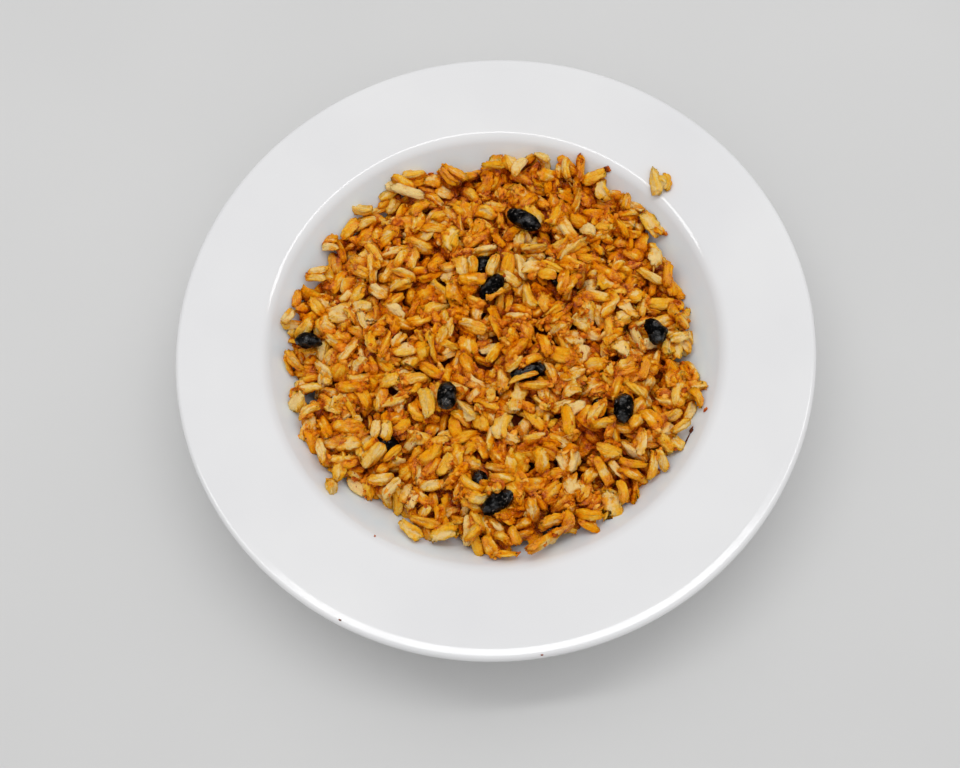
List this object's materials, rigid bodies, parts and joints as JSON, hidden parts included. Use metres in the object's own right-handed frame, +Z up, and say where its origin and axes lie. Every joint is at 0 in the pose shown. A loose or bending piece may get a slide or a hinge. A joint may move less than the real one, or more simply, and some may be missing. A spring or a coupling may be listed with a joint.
{
  "type": "rice and beans plate",
  "caption": "White porcelain rim soup plate filled with a heap of seasoned brown rice and black beans, a cooked meal ready to be served.",
  "frame": {"origin": "centre of the plate's foot ring, on the surface that the plate stands on", "axes": "+Z up, the plate's axis; -Y towards the diner"},
  "size_m": [0.23, 0.23, 0.0418],
  "materials": {
    "porcelain": "gloss",
    "rice": "satin",
    "bean": "satin"
  },
  "bodies": {
    "root": {"plate": "porcelain", "rice_heap": "rice", "rim_grains": "rice", "bean_01": "bean", "bean_02": "bean", "bean_03": "bean", "bean_04": "bean", "bean_05": "bean", "bean_06": "bean", "bean_07": "bean", "bean_08": "bean", "bean_09": "bean", "bean_10": "bean", "bean_11": "bean", "bean_12": "bean", "bean_13": "bean", "bean_14": "bean", "bean_15": "bean"}
  },
  "joints": []
}
